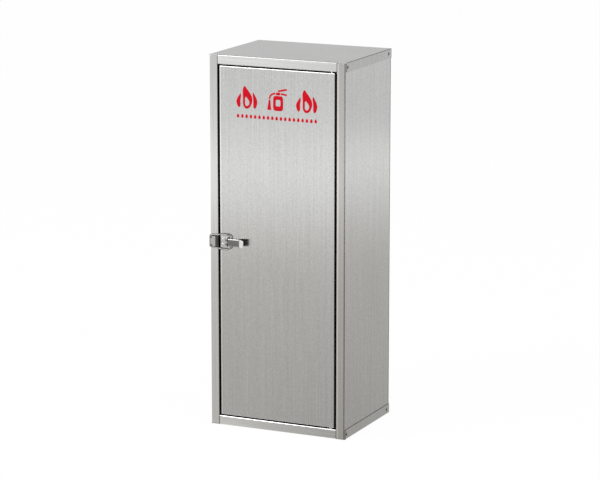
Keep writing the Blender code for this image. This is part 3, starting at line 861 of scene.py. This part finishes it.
# The face is painted dark as reflection, the inner side as shade, and the tab keeps the bright
# painted highlight.
paint_faces(piece, (facing[Y] < -FLAT_ON) | (before_tab & (np.abs(facing[Z]) > STEEPLY)),
            facing[Y] > MOSTLY, before_tab)
dress(piece, "latch_lever", "lever",
      [bright_steel, lever_face_steel, lever_inner_steel, plain_steel], LATCH_DEBURR)

piece = joined_copy("latch_base")
facing, at = faces_of(piece)
# The barrel is painted dark as reflection and shade, with painted highlights on its knuckles, and the
# leaf has a painted shade line by the barrel.
on_leaf = (facing[Y] < -FLAT_ON) & (at[X] < barrel_x - BARREL_HALF)
paint_faces(piece, facing[X] > PARTLY, on_leaf)
dress(piece, "latch_base", "door",
      [barrel_steel, barrel_side_steel, leaf_steel], LATCH_DEBURR)

dress(joined_copy("latch_pin"), "latch_pin", "door", [bright_steel],
      LATCH_DEBURR)
print("pressed latch parts finished: 4")

# %% [markdown]
# ## Wire loop
# The loop is 2.5 mm wire, bent in one plane: its ends turn into the sides of the lever, it bows out
# round the barrel and closes in a straight bar behind the bridge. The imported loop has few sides, so
# a rounder one is swept along the same bends. Because the path lies in a plane, one fixed
# direction across that plane keeps the sweep from twisting.

# %% Wire loop
WIRE_RADIUS = 0.00125
END_HALF, ARM_HALF, WAIST_HALF = 0.0048, 0.0110, 0.0118
BOW_START, BOW_END, WAIST = 0.0065, 0.0180, 0.0300
END_BEND, BOW_BEND, WAIST_BEND, CORNER_BEND = 0.0020, 0.0060, 0.0160, 0.0022
ARC_STEPS, WIRE_SIDES = 12, 20

pivot = Vector(frame["record"]["behaviour"]["joints"][2]["pos_m"])
loop_low, loop_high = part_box("latch_bail")
bar = Vector((loop_low.x + WIRE_RADIUS, loop_high.y - WIRE_RADIUS, pivot.z))
bow_half = (loop_high.z - loop_low.z) / 2 - WIRE_RADIUS


def rounded(corners):
    """Points of a bent line: each corner (x, z, radius) becomes an arc that touches both runs.

    The arc's centre lies on the line that halves the corner, radius / sin(half angle) away.
    """
    points = [np.array([corners[0][:2]])]
    for before, here, after in zip(corners[:-2], corners[1:-1], corners[2:]):
        corner, radius = np.array(here[:2]), here[2]
        runs = [np.array(end[:2]) - corner for end in (before, after)]
        runs = [run / np.linalg.norm(run) for run in runs]
        half = np.arccos(np.clip(runs[0] @ runs[1], -1, 1)) / 2
        halving = (runs[0] + runs[1]) / np.linalg.norm(runs[0] + runs[1])
        centre = corner + halving * radius / np.sin(half)
        arms = [corner + run * radius / np.tan(half) - centre for run in runs]
        share = np.linspace(0, 1, ARC_STEPS + 1)[:, None]
        blend = arms[0] * (1 - share) + arms[1] * share
        points.append(centre + radius * blend / np.linalg.norm(blend, axis=1)[:, None])
    points.append(np.array([corners[-1][:2]]))
    return np.concatenate(points)


def swept_wire(points, across):
    """A circle carried along a flat path: point + radius (cos a * side + sin a * across)."""
    ahead = np.gradient(points, axis=0)
    ahead /= np.linalg.norm(ahead, axis=1)[:, None]
    side = np.cross(across, ahead)
    angle = np.linspace(0, 2 * np.pi, WIRE_SIDES, endpoint=False)[None, :, None]
    tube = points[:, None] + WIRE_RADIUS * (np.cos(angle) * side[:, None] + np.sin(angle) * across)
    ends = [np.repeat(end[None, None], WIRE_SIDES, axis=1) for end in (points[0], points[-1])]
    return np.concatenate([ends[0], tube, ends[1]])


reach = np.array(bar - pivot)
length = np.linalg.norm(reach)
outwards = reach / length
upper = [(0, END_HALF, 0), (0, ARM_HALF, END_BEND), (BOW_START, bow_half, BOW_BEND),
         (BOW_END, bow_half, WAIST_BEND), (WAIST, WAIST_HALF, WAIST_BEND),
         (length, ARM_HALF, CORNER_BEND)]
flat_path = rounded(upper + [(x, -z, radius) for x, z, radius in reversed(upper)])
path = np.array(pivot) + flat_path[:, :1] * outwards + flat_path[:, 1:] * np.array([0, 0, 1.0])
tube = swept_wire(path, np.cross(outwards, [0, 0, 1.0]))
loop = surface("wire_loop", [tube], wire_steel)
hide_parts("latch_bail")
settle(loop, "bail")
print("wire length in mm:", round(1000 * np.linalg.norm(np.diff(path, axis=0), axis=1).sum(), 1))

# %% [markdown]
# ## Rivets
# Two small domed rivets hold the barrel's leaf to the door, and two at the outer corners of the
# strike are painted near black, a painted shade at those corners. Each is a turned profile: a quarter
# of a flattened ball over a short rim.

# %% Rivets
RIVET_RADIUS, RIVET_RISE = 0.0016, 0.0007
RIVET_INSET, RIVET_SPREAD = 0.0042, 0.0046
CORNER_INSET, CORNER_SPREAD = 0.0020, 0.0074
RIVET_RINGS, RIVET_SIDES = 9, 32
LIFT = 0.00002
leaf_low, leaf_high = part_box("latch_base")
strike_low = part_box("strike")[0]


def domed(x, y, z):
    """Radius R sin a and rise h cos a for a from 0 to a quarter turn, closed below."""
    rise = np.linspace(0, np.pi / 2, RIVET_RINGS)
    foot = -sheet / 4
    radius = np.concatenate([RIVET_RADIUS * np.sin(rise), [RIVET_RADIUS, 0]])[:, None]
    height = np.concatenate([RIVET_RISE * np.cos(rise), [foot, foot]])[:, None]
    angle = np.linspace(0, 2 * np.pi, RIVET_SIDES, endpoint=False)[None, :]
    return np.stack([x + radius * np.cos(angle), y - height + 0 * angle,
                     z + radius * np.sin(angle)], axis=-1)


def rivet_pair(name, x, y, spread, body, material):
    """Two rivets, one as far above the wire's pivot as the other is below it."""
    pair = [domed(x, y, pivot.z + side * spread) for side in (-1, 1)]
    settle(surface(name, pair, material), body)


rivet_pair("leaf_rivets", leaf_low.x + RIVET_INSET, leaf_high.y - sheet, RIVET_SPREAD, "door",
           bright_steel)
# The strike's rivets are painted near black as shade.
rivet_pair("strike_rivets", strike_low.x + CORNER_INSET, strike_low.y + LIFT, CORNER_SPREAD,
           "cabinet", rivet_steel)
print("rivets: 4")

# %% [markdown]
# ## Red marks
# Three red marks as wide as the door's middle stand high on it, over a row of small ones. They are
# plain signs that anyone could draw: a flame, an extinguisher and a flame over a row of drops. A
# mark is a thin band of print between two outlines that share their parameter, so the band never
# crosses itself, and a wall of a few hundredths of a millimetre makes it a closed skin on the
# steel.

# %% Red print
PRINT_COLOUR = (0.58, 0.001, 0.012)
print_red = bpy.data.materials.new("red_screen_print")
ink = Finish(print_red)
mottle = ink.noise([0.004] * 3, 3.0)
grainy = ink.grain((0.0006, 0.010), Z, start=2.0)
ink.principled(PRINT_COLOUR, 0.9 + mottle * 0.16 + grainy.swing(0.12), 0.50 + mottle * 0.16,
               ink.bump(grainy, strength=0.2, depth=0.00003), Specular_IOR_Level=0.1)
print("print ready")

# %% Outlines
INK = 0.00005
AROUND = 96


def flame(width, height, base, sway):
    """Closed outline of a flame, up its right side and down its left.

    At a share h of its height, half its width is k sqrt(h) (1 - h)^0.8, with k so that the widest
    place has the given width, and its middle is moved sideways by sway sin(5 h) h.
    """
    up = (1 - np.cos(np.linspace(0, np.pi, AROUND // 2 + 1))) / 2
    share = np.concatenate([up, up[-2:0:-1]])
    side = np.concatenate([np.ones(len(up)), -np.ones(len(up) - 2)])
    half = np.sqrt(share) * (1 - share) ** 0.8
    x = side * half / half.max() * width / 2 + sway * np.sin(5 * share) * share
    return np.stack([x, base + height * share], axis=-1)


def rounded_box(width, height, base, squareness=5):
    """Closed outline whose points are signed powers of cosine and sine, a superellipse."""
    angle = np.linspace(0, 2 * np.pi, AROUND, endpoint=False)
    power = 2 / squareness
    x = np.sign(np.cos(angle)) * np.abs(np.cos(angle)) ** power * width / 2
    y = np.sign(np.sin(angle)) * np.abs(np.sin(angle)) ** power * height / 2
    return np.stack([x, base + height / 2 + y], axis=-1)


def stroke(points, width):
    """The two sides of a line of a given width, each half of it off to one side."""
    ahead = np.gradient(points, axis=0)
    ahead /= np.linalg.norm(ahead, axis=1)[:, None]
    off = np.stack([-ahead[:, 1], ahead[:, 0]], axis=-1) * width / 2
    return points + off, points - off


def printed(name, bands, closed=True):
    """Flat print on the door from pairs of outlines, looking out, with the ink's thickness."""
    grids = []
    for band in bands:
        grid = np.stack(band)
        plane = np.full(grid.shape[:2], door_low.y - LIFT)
        grids.append(np.stack([grid[..., 0], plane, grid[..., 1]], axis=-1))
    piece = surface(name, grids, print_red, closed)
    wall = piece.modifiers.new("ink", "SOLIDIFY")
    wall.thickness = INK
    wall.offset = 0
    settle(piece, "door")


print("outlines ready")

# %% Marks on the door
MARK_BASE, MARK_HEIGHT, MARK_STEP = 0.604, 0.042, 0.0600
BOTTLE_SHIFT = 0.0030
DROP_BASE, DROP_HEIGHT, DROP_WIDTH, DROPS, ROW_WIDTH = 0.5865, 0.0075, 0.0052, 19, 0.156
POINT = 0.0002
LINE_POINTS = 40
along = np.linspace(0, 1, LINE_POINTS)[:, None]


def moved(pair, x, z):
    return tuple(line + np.array([x, z]) for line in pair)


def straight(start, end):
    return np.array(start) * (1 - along) + np.array(end) * along


TONGUES = {
    "middle": (0, flame(0.0190, MARK_HEIGHT, 0, 0.0045), flame(0.0085, 0.0170, 0.0050, 0.0018)),
    "left": (-0.0160, flame(0.0080, 0.0260, 0.0020, -0.0030), flame(POINT, POINT, 0.0100, 0)),
    "right": (0.0160, flame(0.0080, 0.0300, 0.0010, 0.0030), flame(POINT, POINT, 0.0110, 0)),
}
for name, x in (("left_flame_mark", -MARK_STEP), ("right_flame_mark", MARK_STEP)):
    printed(name, [moved((outer, inner), x + shift, MARK_BASE)
                   for shift, outer, inner in TONGUES.values()])

bottle = rounded_box(0.0200, 0.0275, 0), rounded_box(0.0095, 0.0120, 0.0085)
valve = rounded_box(0.0085, 0.0050, 0.0288), rounded_box(POINT, POINT, 0.0312)
printed("extinguisher_bottle_mark", [moved(pair, BOTTLE_SHIFT, MARK_BASE)
                                     for pair in (bottle, valve)])

bend = np.pi * (0.45 + 0.55 * along)
hose = np.array([-0.0040, 0.0213]) + 0.0100 * np.concatenate([np.cos(bend), np.sin(bend)], axis=1)
STROKES = {
    "upper grip": (straight((0.0030, 0.0362), (0.0205, 0.0402)), 0.0034),
    "lower grip": (straight((0.0085, 0.0318), (0.0205, 0.0298)), 0.0032),
    "hose": (hose, 0.0032),
    "nozzle": (straight((-0.0141, 0.0200), (-0.0150, 0.0010)), 0.0030 + 0.0050 * along),
}
printed("extinguisher_hose_mark", [moved(stroke(line, width), 0, MARK_BASE)
                                   for line, width in STROKES.values()], closed=False)

drop = flame(DROP_WIDTH, DROP_HEIGHT, 0, 0), flame(POINT, POINT, DROP_HEIGHT / 3, 0)
printed("drop_row_mark", [moved(drop, x, DROP_BASE)
                          for x in np.linspace(-ROW_WIDTH / 2, ROW_WIDTH / 2, DROPS)])
print("marks: 3 and a row of", DROPS)

# %% [markdown]
# ## Sizes and end
# The box is measured again now that finished copies stand for the imported pieces.

# %% Sizes and end
low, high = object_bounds()
